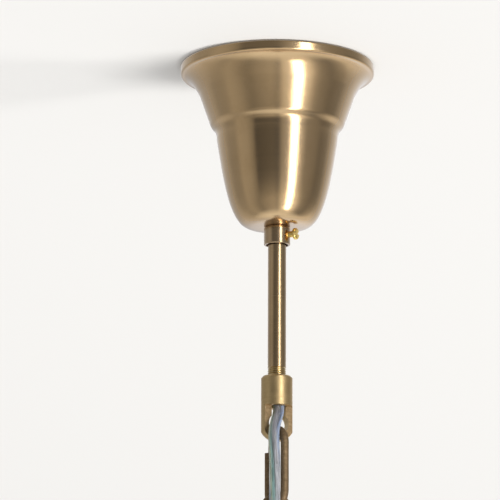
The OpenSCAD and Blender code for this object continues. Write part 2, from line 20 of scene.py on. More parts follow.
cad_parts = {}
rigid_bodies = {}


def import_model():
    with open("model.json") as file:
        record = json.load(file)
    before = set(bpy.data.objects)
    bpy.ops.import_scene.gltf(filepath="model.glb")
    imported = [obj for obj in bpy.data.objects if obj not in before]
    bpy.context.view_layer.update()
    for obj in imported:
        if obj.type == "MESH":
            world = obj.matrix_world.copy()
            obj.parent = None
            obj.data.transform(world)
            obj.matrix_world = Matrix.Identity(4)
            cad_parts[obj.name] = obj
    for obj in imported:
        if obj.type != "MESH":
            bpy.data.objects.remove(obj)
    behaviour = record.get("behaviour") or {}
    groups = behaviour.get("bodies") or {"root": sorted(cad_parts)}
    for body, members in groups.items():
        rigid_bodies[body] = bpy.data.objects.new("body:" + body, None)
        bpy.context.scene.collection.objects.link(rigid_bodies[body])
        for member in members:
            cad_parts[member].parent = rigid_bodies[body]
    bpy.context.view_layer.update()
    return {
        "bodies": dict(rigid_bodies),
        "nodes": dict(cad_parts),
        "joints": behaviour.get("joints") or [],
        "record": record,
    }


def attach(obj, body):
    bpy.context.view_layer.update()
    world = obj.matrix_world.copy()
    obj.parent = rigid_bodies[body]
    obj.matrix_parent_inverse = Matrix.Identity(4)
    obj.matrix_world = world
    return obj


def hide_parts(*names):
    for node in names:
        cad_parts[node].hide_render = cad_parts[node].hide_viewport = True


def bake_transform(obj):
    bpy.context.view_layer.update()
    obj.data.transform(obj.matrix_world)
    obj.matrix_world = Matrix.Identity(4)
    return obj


LOG = logging.getLogger("suspension")
MM = 0.001
ROUTE_MAP = "route"
Colour = tuple[float, float, float]
Point = tuple[float, float, float]
Stops = tuple[tuple[float, float], ...]


# ---------------------------------------------------------------- shader kit


class Value:
    """One output socket; arithmetic on it adds Math nodes to its tree."""

    def __init__(self, kit: ShaderKit, socket: Any) -> None:
        """Wraps a socket.

        Args:
            socket: The node's output.
        """
        self.kit = kit
        self.socket = socket

    def _math(self, operation: str, first: Any, second: Any) -> Value:
        """Adds one Math node."""
        return self.kit.node("ShaderNodeMath", {"operation": operation}, {0: first, 1: second})

    def __add__(self, other: Any) -> Value:
        """Sum with another value."""
        return self._math("ADD", self, other)

    def __radd__(self, other: Any) -> Value:
        """Sum with a number on the left."""
        return self._math("ADD", other, self)

    def __sub__(self, other: Any) -> Value:
        """Difference to another value."""
        return self._math("SUBTRACT", self, other)

    def __rsub__(self, other: Any) -> Value:
        """Difference from a number on the left."""
        return self._math("SUBTRACT", other, self)

    def __mul__(self, other: Any) -> Value:
        """Product with another value."""
        return self._math("MULTIPLY", self, other)

    def __rmul__(self, other: Any) -> Value:
        """Product with a number on the left."""
        return self._math("MULTIPLY", other, self)

    def __truediv__(self, other: Any) -> Value:
        """Quotient by another value."""
        return self._math("DIVIDE", self, other)

    def __rtruediv__(self, other: Any) -> Value:
        """Quotient of a number on the left."""
        return self._math("DIVIDE", other, self)

    def below(self, other: float) -> Value:
        """One where this value is under a threshold, else nought."""
        return self._math("LESS_THAN", self, other)

    def size(self) -> Value:
        """The value without its sign."""
        return self._math("ABSOLUTE", self, 0.0)


class ShaderKit:
    """Builds one node tree."""

    def __init__(self, name: str, tree: Any = None) -> None:
        """Starts a material, or works in a given tree.

        Args:
            name: The material's name.
            tree: A node tree that is already there, such as the world's.
        """
        self.material = None
        if tree is None:
            self.material = bpy.data.materials.new(name)
            self.material.use_nodes = True
            tree = self.material.node_tree
        tree.nodes.clear()
        self.tree = tree

    def node(self, kind: str, settings: dict[str, Any] | None = None, inputs: dict[Any, Any] | None = None,
             output: Any = 0) -> Value:
        """Adds any node.

        Args:
            kind: The node's type.
            settings: Its properties, set before its sockets; "stops" fills a ramp.
            inputs: Socket name or number to a value or a Value.
            output: The name or number of the output to return.

        Returns:
            The chosen output.
        """
        made = self.tree.nodes.new(kind)
        for key, value in (settings or {}).items():
            if key == "stops":
                self._stops(made.color_ramp, value)
            else:
                setattr(made, key, value)
        for key, value in (inputs or {}).items():
            if isinstance(value, Value):
                self.tree.links.new(value.socket, made.inputs[key])
            else:
                made.inputs[key].default_value = value
        return Value(self, made.outputs[output])

    @staticmethod
    def _stops(ramp: Any, stops: Sequence[tuple[float, Sequence[float]]]) -> None:
        """Fills a colour ramp.

        Args:
            ramp: The ramp.
            stops: Position and colour, in order.
        """
        while len(ramp.elements) < len(stops):
            ramp.elements.new(0.5)
        for element, (position, colour) in zip(ramp.elements, stops):
            element.position = position
            element.color = (*colour, 1.0)

    def place(self, scale: Sequence[float] = (1.0, 1.0, 1.0)) -> Value:
        """Object coordinates, in metres, scaled along each axis."""
        raw = self.node("ShaderNodeTexCoord", output="Object")
        return self.node("ShaderNodeMapping", {}, {"Vector": raw, "Scale": tuple(scale)})

    def axes(self) -> tuple[Value, Value, Value]:
        """The object's X, Y and Z, in metres."""
        raw = self.node("ShaderNodeTexCoord", output="Object")
        return tuple(self.node("ShaderNodeSeparateXYZ", {}, {0: raw}, axis) for axis in "XYZ")

    def turned_place(self) -> Value:
        """Coordinates for a lathe's marks, the same all round the Z axis.

        Returns:
            The radius as X and the height as Y, in metres.
        """
        raw = self.node("ShaderNodeTexCoord", output="Object")
        flat = self.node("ShaderNodeVectorMath", {"operation": "MULTIPLY"}, {0: raw, 1: (1.0, 1.0, 0.0)})
        radius = self.node("ShaderNodeVectorMath", {"operation": "LENGTH"}, {0: flat}, "Value")
        height = self.node("ShaderNodeSeparateXYZ", {}, {0: raw}, "Z")
        return self.node("ShaderNodeCombineXYZ", {}, {"X": radius, "Y": height})

    def noise(self, place: Value, waves: float, detail: float, weight: float) -> Value:
        """A soft noise between nought and one.

        Args:
            place: The coordinates.
            waves: How many waves a metre.
            detail: Number of finer layers.
            weight: Weight of the finer layers.

        Returns:
            The noise's value.
        """
        return self.node("ShaderNodeTexNoise", {}, {"Vector": place, "Scale": waves, "Detail": detail,
                                                     "Roughness": weight}, "Fac")

    def spread(self, value: Value, low: float, high: float, to_low: float, to_high: float) -> Value:
        """Maps a range onto another, and stays inside it.

        Args:
            value: What is mapped.
            low: Start of its range.
            high: End of its range.
            to_low: What the start becomes.
            to_high: What the end becomes.

        Returns:
            The mapped value.
        """
        return self.node("ShaderNodeMapRange", {"clamp": True},
                         {"Value": value, "From Min": low, "From Max": high, "To Min": to_low, "To Max": to_high})

    def blend(self, factor: Any, first: Any, second: Any) -> Value:
        """Mixes two colours.

        Args:
            factor: Nought gives the first, one the second.
            first: A colour or a link.
            second: A colour or a link.

        Returns:
            The mixed colour.
        """
        made = self.tree.nodes.new("ShaderNodeMix")
        made.data_type = "RGBA"
        for index, value in ((0, factor), (6, first), (7, second)):
            if isinstance(value, Value):
                self.tree.links.new(value.socket, made.inputs[index])
            else:
                made.inputs[index].default_value = (*value, 1.0) if isinstance(value, tuple) else value
        return Value(self, made.outputs[2])

    def bump(self, height: Value, depth: float) -> Value:
        """The normal of a relief from nought to one, with its real depth in metres."""
        return self.node("ShaderNodeBump", {}, {"Height": height, "Distance": depth, "Strength": 1.0}, "Normal")

    def glow(self, colour: Colour, strength: float) -> Value:
        """A shader that gives off one colour."""
        return self.node("ShaderNodeEmission", {}, {"Color": (*colour, 1.0), "Strength": strength}, "Emission")

    def mix(self, factor: Value, first: Value, second: Value) -> Value:
        """Mixes two shaders: nought gives the first, one the second."""
        return self.node("ShaderNodeMixShader", {}, {0: factor, 1: first, 2: second}, "Shader")

    def principled(self, sockets: dict[str, Any]) -> bpy.types.Material:
        """Ends the tree in a Principled shader with these inputs, and gives the material."""
        return self.end(self.node("ShaderNodeBsdfPrincipled", {}, sockets, "BSDF"))

    def end(self, shader: Value, kind: str = "ShaderNodeOutputMaterial") -> bpy.types.Material | None:
        """Links a shader to the tree's output.

        Args:
            shader: The shader.
            kind: The output's type.

        Returns:
            The material, if the tree is a material's.
        """
        self.tree.links.new(shader.socket, self.tree.nodes.new(kind).inputs["Surface"])
        return self.material


# ---------------------------------------------------------------- finishes

# What every metal shares: the waves a metre and the weight of tarnish, specks, streaks and rings, and the lacquer.
CLOUD_WAVES, SPECK_WAVES, SPECK_WEIGHT = 55.0, 900.0, 0.35
TARNISH_START, TARNISH_FULL, TARNISH_COVER, TARNISH_ROUGH = 0.62, 0.80, 0.55, 0.05
STREAK_COVER = 0.45
RING_WEIGHT, SPECK_RELIEF = 0.6, 0.2
ROUGH_LEAST, ROUGH_MOST = 0.65, 1.4
LACQUER_ROUGH, LACQUER_IOR = 0.28, 1.6
# Between these lie most of a noise's values.
NOISE_SPAN = (0.3, 0.7)


class Lay(Enum):
    """The way that a metal surface was worked, with the layers of its grain and their weight."""

    TURNED = (4.0, 0.7)
    DRAWN = (3.0, 0.6)
    CAST = (6.0, 0.65)
    BARREL = (2.0, 0.5)

    def place(self, kit: ShaderKit) -> Value:
        """The coordinates of the tool marks: round the axis, along it, or even.

        Args:
            kit: The material's kit.

        Returns:
            The coordinates.
        """
        if self is Lay.TURNED:
            return kit.turned_place()
        return kit.place((1.0, 1.0, 0.03) if self is Lay.DRAWN else (1.0, 1.0, 1.0))


@dataclass(frozen=True)
class MetalFinish:
    """A metal with its tool marks, tarnish and worn places.

    Attributes:
        name: The material's name.
        slot: The record's material slot; not used.
        bright: Colour of the clean metal.
        dull: Colour of its tarnish.
        rough: Mean roughness.
        lay: How it was worked.
        depth: Depth of the tool marks, in metres.
        tarnish: How much of the surface the tarnish covers.
        grain: Waves of tool marks a metre.
        lacquer: Weight of the clear lacquer on it.
        rings: Waves a metre of the polishing rings, which are rougher and smoother in turn.
    """

    name: str
    slot: str
    bright: Colour
    dull: Colour
    rough: float
    lay: Lay
    depth: float
    tarnish: float
    grain: float
    lacquer: float = 0.0
    rings: float = 650.0

    def adjust(self, kit: ShaderKit, colour: Value, rough: Value) -> tuple[Value, Value]:
        """The colour and roughness as they are; a finish that differs in places changes them there."""
        return colour, rough

    def build(self) -> bpy.types.Material:
        """Makes the material.

        Returns:
            The material.
        """
        kit = ShaderKit(self.name)
        marks = kit.noise(self.lay.place(kit), self.grain, *self.lay.value)
        specks = kit.noise(kit.place(), SPECK_WAVES, 3.0, 0.6)
        clouds = kit.noise(kit.place(), CLOUD_WAVES, 4.0, 0.6) + (specks - 0.5) * SPECK_WEIGHT
        start, full = TARNISH_START - self.tarnish * 0.5, TARNISH_FULL - self.tarnish * 0.3
        patch = kit.spread(clouds, start, full, 0.0, 1.0)
        streaked = kit.blend(kit.spread(marks, 0.25, 0.8, 0.0, STREAK_COVER), self.bright, self.dull)
        colour = kit.blend(patch * TARNISH_COVER, streaked, self.dull)
        rings = kit.noise(kit.turned_place(), self.rings, 3.0, 0.7)
        uneven = marks * (1 - RING_WEIGHT) + rings * RING_WEIGHT
        rough = kit.spread(uneven, *NOISE_SPAN, self.rough * ROUGH_LEAST, self.rough * ROUGH_MOST)
        colour, rough = self.adjust(kit, colour, rough + patch * TARNISH_ROUGH)
        normal = kit.bump(marks * (1 - SPECK_RELIEF) + specks * SPECK_RELIEF, self.depth)
        return kit.principled({"Base Color": colour, "Metallic": 1.0, "Roughness": rough, "Normal": normal,
                               "Coat Weight": self.lacquer, "Coat Roughness": LACQUER_ROUGH, "Coat IOR": LACQUER_IOR})


@dataclass(frozen=True)
class MilledFinish(MetalFinish):
    """The turned brass of the loops, with two flats milled across each.

    Attributes:
        turn: Direction that the flats face, in degrees.
        half: Half of the tab's thickness, in metres.
        skin: How near to a flat a point counts as on it, in metres.
        middle: Height of the chain's middle, in metres.
        reach: Distance from there to the flats' shoulders, in metres.
        milled: Colour of the flats.
        stained: Colour of their stains.
        stain_waves: Waves of the stains a metre.
        cover: How much of the turned colour the flats hide.
        rougher: How much rougher the flats are.
    """

    turn: float = 20.0
    half: float = 0.003
    skin: float = 0.00008
    middle: float = -0.2621
    reach: float = 0.07118
    milled: Colour = (0.42, 0.31, 0.185)
    stained: Colour = (0.22, 0.15, 0.085)
    stain_waves: float = 700.0
    cover: float = 0.85
    rougher: float = 0.26

    def adjust(self, kit: ShaderKit, colour: Value, rough: Value) -> tuple[Value, Value]:
        """Leaves the flats rough and mottled.

        Args:
            kit: The material's kit.
            colour: The metal's colour.
            rough: Its roughness.

        Returns:
            The colour and the roughness.
        """
        x, y, z = kit.axes()
        turn = math.radians(self.turn)
        across = (x * math.sin(turn) - y * math.cos(turn)).size()
        flat = (across - self.half).size().below(self.skin) * (z - self.middle).size().below(self.reach)
        stain = kit.noise(kit.place(), self.stain_waves, 4.0, 0.65)
        mottled = kit.blend(kit.spread(stain, 0.35, 0.68, 0.0, 1.0), self.milled, self.stained)
        return kit.blend(flat * self.cover, colour, mottled), rough + flat * self.rougher


@dataclass(frozen=True)
class ThreadedFinish(MetalFinish):
    """The tube's dark brass, with bare yellow metal where the lower thread was cut.

    Attributes:
        bare: Colour of the bare metal.
        below: Height under which it is bare, in metres.
        rougher: How much rougher it is there.
    """

    bare: Colour = (0.56, 0.43, 0.22)
    below: float = -0.1697
    rougher: float = 0.08

    def adjust(self, kit: ShaderKit, colour: Value, rough: Value) -> tuple[Value, Value]:
        """Bares the lower thread."""
        cut = kit.axes()[2].below(self.below)
        return kit.blend(cut, colour, self.bare), rough + cut * self.rougher


@dataclass(frozen=True)
class PlasticFinish:
    """A moulded or extruded plastic.

    Attributes:
        name: The material's name.
        slot: The record's material slot; not used.
        colour: Its colour.
        rough: Mean roughness.
        stripe: Colour of a lengthwise stripe, if it has one.
        skin_waves: Waves of the skin's grain a metre.
        skin_depth: Depth of the grain, in metres.
        cloud_waves: Waves of the shade a metre.
        shade: Brightness of the shaded places.
    """

    name: str
    slot: str
    colour: Colour
    rough: float
    stripe: Colour | None = None
    skin_waves: float = 1500.0
    skin_depth: float = 0.000012
    cloud_waves: float = 120.0
    shade: float = 0.82

    def build(self) -> bpy.types.Material:
        """Makes the material.

        Returns:
            The material.
        """
        kit = ShaderKit(self.name)
        skin = kit.noise(kit.place(), self.skin_waves, 3.0, 0.6)
        clouds = kit.noise(kit.place(), self.cloud_waves, 2.0, 0.5)
        shaded = tuple(self.shade * c for c in self.colour)
        colour = kit.blend(kit.spread(clouds, 0.3, 0.75, 0.0, 0.6), self.colour, shaded)
        if self.stripe is not None:
            around = kit.node("ShaderNodeSeparateXYZ", {}, {0: kit.node("ShaderNodeUVMap", {"uv_map": ROUTE_MAP})}, "Y")
            band = kit.spread((around - 0.5) * (around - 0.5), 0.035, 0.045, 1.0, 0.0)
            colour = kit.blend(band, colour, self.stripe)
        rough = kit.spread(skin, *NOISE_SPAN, self.rough * 0.85, self.rough * 1.15)
        return kit.principled({"Base Color": colour, "Roughness": rough, "Normal": kit.bump(skin, self.skin_depth)})


@dataclass(frozen=True)
class SheathFinish:
    """The clear extruded sheath of the flex.

    Attributes:
        name: The material's name.
        slot: The record's material slot; not used.
        tint: Colour of light that passes through.
        rough: Mean roughness.
        clear: Share of light that passes through.
        haze: Brightness of the hazy streaks.
        flow: Streaks a metre along the flex, and streaks round it.
        flow_depth: Depth of the streaks, in metres.
        ior: Refraction of the plastic.
    """

    name: str
    slot: str
    tint: Colour
    rough: float
    clear: float
    haze: float = 0.45
    flow: tuple[float, float] = (70.0, 25.0)
    flow_depth: float = 0.00004
    ior: float = 1.46

    def build(self) -> bpy.types.Material:
        """Makes the material.

        Returns:
            The material.
        """
        kit = ShaderKit(self.name)
        route = kit.node("ShaderNodeUVMap", {"uv_map": ROUTE_MAP})
        place = kit.node("ShaderNodeMapping", {}, {"Vector": route, "Scale": (*self.flow, 1.0)})
        flow = kit.noise(place, 1.0, 3.0, 0.6)
        hazy = tuple(self.haze * c for c in self.tint)
        colour = kit.blend(kit.spread(flow, 0.46, 0.60, 0.0, 1.0), self.tint, hazy)
        rough = kit.spread(flow, *NOISE_SPAN, self.rough * 0.7, self.rough * 1.4)
        return kit.principled({"Base Color": colour, "Roughness": rough, "IOR": self.ior,
                               "Transmission Weight": self.clear, "Normal": kit.bump(flow, self.flow_depth)})


FINISHES: dict[str, Any] = {
    "satin_brass": MetalFinish(
        "spun_satin_brass", "satin_brass", (0.60, 0.405, 0.198), (0.50, 0.325, 0.14), 0.15, Lay.TURNED,
        depth=0.000003, tarnish=0.3, grain=5200.0, lacquer=1.0),
    "dark_brass": ThreadedFinish(
        "antique_tube_brass", "dark_brass", (0.47, 0.325, 0.16), (0.36, 0.235, 0.105), 0.19, Lay.DRAWN,
        depth=0.000002, tarnish=0.4, grain=4200.0, lacquer=1.0),
    "collar_brass": MetalFinish(
        "antique_turned_brass", "dark_brass", (0.49, 0.338, 0.18), (0.34, 0.225, 0.11), 0.17, Lay.TURNED,
        depth=0.000003, tarnish=0.4, grain=4200.0, lacquer=1.0),
    "raw_brass": MetalFinish(
        "machined_raw_brass", "raw_brass", (0.60, 0.465, 0.265), (0.40, 0.30, 0.155), 0.34, Lay.TURNED,
        depth=0.00002, tarnish=0.4, grain=3600.0),
    "loop_brass": MilledFinish(
        "machined_loop_brass", "raw_brass", (0.60, 0.445, 0.235), (0.42, 0.305, 0.15), 0.42, Lay.TURNED,
        depth=0.00002, tarnish=0.4, grain=3600.0),
    "polished_brass": MetalFinish(
        "polished_yellow_brass", "polished_brass", (0.97, 0.72, 0.25), (0.84, 0.58, 0.17), 0.19, Lay.BARREL,
        depth=0.000006, tarnish=0.2, grain=2500.0),
    "bronzed_brass": MetalFinish(
        "bronzed_wire_brass", "bronzed_brass", (0.325, 0.232, 0.138), (0.215, 0.15, 0.086), 0.66, Lay.CAST,
        depth=0.00002, tarnish=0.45, grain=1400.0),
    "zinc_steel": MetalFinish(
        "zinc_plated_steel", "zinc_steel", (0.62, 0.64, 0.66), (0.46, 0.47, 0.47), 0.36, Lay.BARREL,
        depth=0.00001, tarnish=0.35, grain=1800.0),
    "white_plastic": PlasticFinish("white_moulding", "white_plastic", (0.84, 0.84, 0.80), 0.42),
    "nylon": PlasticFinish("natural_nylon", "nylon", (0.82, 0.80, 0.72), 0.45),
    "brown_core": PlasticFinish("brown_core_skin", "brown_core", (0.46, 0.43, 0.50), 0.35),
    "blue_core": PlasticFinish("blue_core_skin", "blue_core", (0.16, 0.33, 0.68), 0.35),
    "green_core": PlasticFinish("green_core_skin", "green_core", (0.18, 0.54, 0.47), 0.35, (0.64, 0.70, 0.42)),
    "clear_sheath": SheathFinish("clear_sheath", "clear_sheath", (0.93, 0.97, 1.0), 0.18, 0.64),
}

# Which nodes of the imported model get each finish.
FINISH_NODES: dict[str, tuple[str, ...]] = {
    "satin_brass": ("canopy_cup",),
    "dark_brass": ("stem_tube",),
    "collar_brass": ("canopy_collar",),
    "raw_brass": ("lock_nut_upper", "lock_nut_lower", "terminal_inserts", "lower_nipple"),
    "loop_brass": ("suspension_loop", "lower_loop"),
    "polished_brass": ("clamp_screw", "earth_screw"),
    "bronzed_brass": ("chain_link_1", "chain_link_2", "chain_link_3"),
    "zinc_steel": ("ceiling_bracket", "lock_washer", "earth_nut", "earth_tag", "terminal_screws", "block_screws"),
    "white_plastic": ("terminal_block",),
    "nylon": ("stem_bush",),
    "brown_core": ("core_live",),
    "blue_core": ("core_neutral",),
    "green_core": ("core_earth",),
    "clear_sheath": ("flex_stem", "flex_drop_1", "flex_drop_2", "flex_drop_3", "flex_drop_4", "flex_tail"),
}


class FinishShelf:
    """Makes each finish once and hands it out."""

    def __init__(self) -> None:
        """Starts with no material made."""
        self.made: dict[str, bpy.types.Material] = {}

    def get(self, key: str) -> bpy.types.Material:
        """The material of a finish.

        Args:
            key: The finish's key in FINISHES.

        Returns:
            The material.
        """
        if key not in self.made:
            self.made[key] = FINISHES[key].build()
        return self.made[key]

    def coat(self, piece: bpy.types.Object, key: str) -> None:
        """Makes a finish the only one on a piece."""
        piece.data.materials.clear()
        piece.data.materials.append(self.get(key))

    def dress(self, piece: bpy.types.Object, key: str) -> None:
        """Puts a finish on a new piece."""
        self.coat(piece, key)


# ---------------------------------------------------------------- mesh helpers


def finish_mesh(name: str, shape: bmesh.types.BMesh, sharp: float = 35.0) -> bpy.types.Object:
    """Turns a bmesh into a shaded object at the origin.

    Args:
        name: The piece's name.
        shape: The bmesh, which is freed.
        sharp: Edges over this angle, in degrees, stay sharp.

    Returns:
        The piece.
    """
    mesh = bpy.data.meshes.new(name)
    shape.to_mesh(mesh)
    shape.free()
    mesh.shade_smooth()
    mesh.set_sharp_from_angle(angle=math.radians(sharp))
    piece = bpy.data.objects.new(name, mesh)
    bpy.context.scene.collection.objects.link(piece)
    return piece


def route_length(points: Sequence[Vector]) -> float:
    """The length of a line through points."""
    return sum((points[i + 1] - points[i]).length for i in range(len(points) - 1))


def smooth_route(points: Sequence[Vector], step: float, fineness: int = 12) -> list[Vector]:
    """A smooth curve through three or more points, in even steps.

    Args:
        points: The points that it passes.
        step: The distance between the new points.
        fineness: Steps between two points before they are made even.

    Returns:
        The new points, the first and last as given.
    """
    fine: list[Vector] = []
    for i in range(len(points) - 1):
        before = points[i - 1] if i else points[0] * 2 - points[1]
        after = points[i + 2] if i + 2 < len(points) else points[-1] * 2 - points[-2]
        a, b = points[i], points[i + 1]
        for t in (k / fineness for k in range(fineness)):
            fine.append(0.5 * (2 * a + (b - before) * t + (2 * before - 5 * a + 4 * b - after) * t * t
                               + (3 * a - before - 3 * b + after) * t ** 3))
    fine.append(points[-1])
    total = route_length(fine)
    count = max(2, round(total / step))
    result = [fine[0].copy()]
    walked, index = 0.0, 0
    for n in range(1, count):
        target = total * n / count
        while walked + (fine[index + 1] - fine[index]).length < target:
            walked += (fine[index + 1] - fine[index]).length
            index += 1
        share = (target - walked) / (fine[index + 1] - fine[index]).length
        result.append(fine[index].lerp(fine[index + 1], share))
    result.append(fine[-1].copy())
    return result


def route_frames(points: Sequence[Vector], upright: float = 0.98) -> list[Matrix]:
    """A frame at each point, its Z along the route, carried along without twist.

    Args:
        points: The route.
        upright: An end that points up or down more than this is made exactly upright.

    Returns:
        One 4x4 matrix a point.
    """
    frames: list[Matrix] = []
    side = Vector((1.0, 0.0, 0.0))
    last = len(points) - 1
    for i, point in enumerate(points):
        along = (points[min(i + 1, last)] - points[max(i - 1, 0)]).normalized()
        if i in (0, last) and abs(along.z) > upright:
            along = Vector((0.0, 0.0, math.copysign(1.0, along.z)))
        side = (side - along * side.dot(along)).normalized()
        frame = Matrix((side, along.cross(side), along)).transposed().to_4x4()
        frame.translation = point
        frames.append(frame)
    return frames


def sweep_tube(name: str, points: Sequence[Vector], radius: float, sides: int) -> bpy.types.Object:
    """A round bar along a route, with a UV map of its length and girth.

    Args:
        name: The piece's name.
        points: The route.
        radius: The bar's radius.
        sides: Sides of its section.

    Returns:
        The piece.
    """
    frames = route_frames(points)
    shape = bmesh.new()
    bmesh.ops.create_circle(shape, cap_ends=False, segments=sides, radius=radius)
    along = shape.verts.layers.float.new("along")
    around = shape.verts.layers.float.new("around")
    for vertex in shape.verts:
        vertex[around] = (math.atan2(vertex.co.y, vertex.co.x) / math.tau) % 1.0
    ring = shape.edges[:]
    bmesh.ops.transform(shape, matrix=frames[0], verts=shape.verts[:])
    first_ring, walked = list(ring), 0.0
    for i in range(1, len(frames)):
        grown = bmesh.ops.extrude_edge_only(shape, edges=ring)["geom"]
        fresh = {g for g in grown if isinstance(g, bmesh.types.BMVert)}
        ring = [g for g in grown if isinstance(g, bmesh.types.BMEdge) and set(g.verts) <= fresh]
        bmesh.ops.transform(shape, matrix=frames[i] @ frames[i - 1].inverted(), verts=list(fresh))
        walked += (points[i] - points[i - 1]).length
        for vertex in fresh:
            vertex[along] = walked
    bmesh.ops.contextual_create(shape, geom=first_ring)
    bmesh.ops.contextual_create(shape, geom=ring)
    bmesh.ops.recalc_face_normals(shape, faces=shape.faces[:])
    route_map = shape.loops.layers.uv.new(ROUTE_MAP)
    for face in shape.faces:
        turns = [loop.vert[around] for loop in face.loops]
        wraps = max(turns) - min(turns) > 0.5
        for loop, turn in zip(face.loops, turns):
            loop[route_map].uv = (loop.vert[along], turn + 1.0 if wraps and turn < 0.5 else turn)
    return finish_mesh(name, shape, sharp=60.0)


# ---------------------------------------------------------------- the flex


@dataclass(frozen=True)
class Stretch:
    """One stretch of the flex, held on one body, or left loose between two bodies.

    Attributes:
        node: The CAD node that it replaces.
        points: The route in millimetres.
        bodies: One body that holds it, or the two bodies that it lies between, which are not read.
        bend: Depths in millimetres between which it was to bend; a stretch with these is left loose and not bent.
    """

    node: str
    points: list[Point]
    bodies: tuple[str, ...]
    bend: tuple[float, float] | None = None


@dataclass(frozen=True)
class Flex:
    """The clear flex with its cores, from the bush to the lower nipple, in millimetres.

    A point of its routes is its place to the right, its place to the back, and its depth.

    Attributes:
        sheath_r: Radius of the sheath.
        sheath_sides: Sides of its section.
        core_r: Radius of a core.
        core_sides: Sides of its section.
        core_lay_r: Distance of the cores' middles from the flex's middle.
        core_pitch: Length of one turn of the cores.
        cores: Each core's finish, and its place round the middle in degrees.
        step: Distance between two rings of a mesh.
        ledge: Depth of the loop's shoulder.
        inside: Distance above the shoulder at which the free flex starts.
        drop: The way out of the loop, with depths below the shoulder.
        settle: The way on beside the chain: to the right, and depth below the shoulder.
        mid_1: Depth of the first link's middle.
        mirror: Depth of the chain's middle.
        aside: Place of the flex beside the chain, from left to right.
        out: The same from front to back.
        loop_bend: Depths given as the bend of the stretch by the first link; nothing bends it.
        link_bend: Depths given as the bend of the stretch by the second link; nothing bends it.
        start: Depth of the flex's upper end.
        stem_point: Depth of a point of its way through the stem.
        tail_point: Depth of a point of its way through the nipple.
        nipple_end: Depth of the flex's lower end.
    """

    sheath_r: float = 3.0
    sheath_sides: int = 28
    core_r: float = 1.05
    core_sides: int = 12
    core_lay_r: float = 1.32
    core_pitch: float = 180.0
    cores: tuple[tuple[str, float], ...] = (("brown_core", 248.0), ("blue_core", 8.0), ("green_core", 128.0))
    step: float = 1.5
    ledge: float = 191.0
    inside: float = 10.0
    drop: tuple[Point, ...] = (
        (0.3, -0.2, -7), (0.8, -0.55, -4), (1.1, -1.05, -0.8), (0.95, -2.3, 2.5), (0.4, -4.3, 6), (-0.5, -6.7, 9.6),
        (-1.3, -8.65, 13.5), (-1.6, -9.6, 18))
    settle: tuple[tuple[float, float], ...] = ((-1.5, 23.5), (-1.2, 28.5))
    mid_1: float = 224.8
    mirror: float = 262.1
    aside: float = -1.1
    out: float = -9.9
    loop_bend: tuple[float, float] = (202.0, 223.0)
    link_bend: tuple[float, float] = (236.0, 255.0)
    start: float = 13.5
    stem_point: float = 97.0
    tail_point: float = 349.0
    nipple_end: float = 354.8

    def upper_route(self) -> list[Point]:
        """The first stretch below the stem.

        Returns:
            The points.
        """
        points: list[Point] = [(0, 0, self.ledge - self.inside)]
        points += [(x, y, self.ledge + depth) for x, y, depth in self.drop]
        points += [(x, self.out, self.ledge + depth) for x, depth in self.settle]
        return points + [(self.aside, self.out, self.mid_1)]

    def mirrored(self, points: Iterable[Point]) -> list[Point]:
        """The same route upside down about the chain's middle."""
        return [(x, y, 2 * self.mirror - z) for x, y, z in reversed(list(points))]

    def stretches(self) -> list[Stretch]:
        """All stretches, from the top down.

        Returns:
            The stretches.
        """
        upper = self.upper_route()
        straight = [(self.aside, self.out, z) for z in (self.mid_1, (self.mid_1 + self.mirror) / 2, self.mirror)]
        in_stem = [(0, 0, z) for z in (self.start, self.stem_point, self.ledge - self.inside)]
        low = 2 * self.mirror
        in_tail = [(0, 0, z) for z in (low - self.ledge + self.inside, self.tail_point, self.nipple_end)]
        low_link_bend, low_loop_bend = ((low - end, low - top) for top, end in (self.link_bend, self.loop_bend))
        return [
            Stretch("flex_stem", in_stem, ("fixing",)),
            Stretch("flex_drop_1", upper, ("fixing", "link_1"), self.loop_bend),
            Stretch("flex_drop_2", straight, ("link_1", "link_2"), self.link_bend),
            Stretch("flex_drop_3", self.mirrored(straight), ("link_2", "link_3"), low_link_bend),
            Stretch("flex_drop_4", self.mirrored(upper), ("link_3", "lower_end"), low_loop_bend),
            Stretch("flex_tail", in_tail, ("lower_end",)),
        ]

    def core_line(self, frames: list[Matrix], points: list[Vector], walked: float, phase: float) -> list[Vector]:
        """The route of one core inside a stretch.

        Args:
            frames: The stretch's frames.
            points: The stretch's points.
            walked: Length of flex above this stretch.
            phase: The core's place round the middle, in degrees.

        Returns:
            The core's route.
        """
        line = []
        for i, frame in enumerate(frames):
            if i:
                walked += (points[i] - points[i - 1]).length
            angle = math.radians(phase) + math.tau * walked / (self.core_pitch * MM)
            offset = Vector((math.cos(angle), -math.sin(angle), 0.0)) * self.core_lay_r * MM
            line.append(frame @ offset)
        return line

    def build_stretch(self, stretch: Stretch, walked: float, shelf: FinishShelf) -> float:
        """Makes one stretch, and puts it on its body where it is held on one; a stretch between two bodies is left
        loose and not bent.

        Args:
            stretch: The stretch.
            walked: Length of flex above it.
            shelf: The finishes.

        Returns:
            Its length.
        """
        points = smooth_route([Vector((x, y, -z)) * MM for x, y, z in stretch.points], self.step * MM)
        sheath = sweep_tube(f"{stretch.node}_sheath", points, self.sheath_r * MM, self.sheath_sides)
        shelf.dress(sheath, "clear_sheath")
        frames = route_frames(points)
        pieces = [sheath]
        for key, phase in self.cores:
            line = self.core_line(frames, points, walked, phase)
            core = sweep_tube(f"{stretch.node}_{key}", line, self.core_r * MM, self.core_sides)
            shelf.dress(core, key)
            pieces.append(core)
        for piece in pieces:
            if stretch.bend is None:
                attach(piece, stretch.bodies[0])
            else:
                top, bottom = stretch.bend
                -top * MM
                -bottom * MM
                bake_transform(piece)
        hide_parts(stretch.node)
        length = route_length(points)
        LOG.info("%s: %d pieces, %.1f mm long", stretch.node, len(pieces), length / MM)
        return length

    def build(self, shelf: FinishShelf) -> None:
        """Makes every stretch.

        Args:
            shelf: The finishes.
        """
        walked = 0.0
        for stretch in self.stretches():
            walked += self.build_stretch(stretch, walked, shelf)


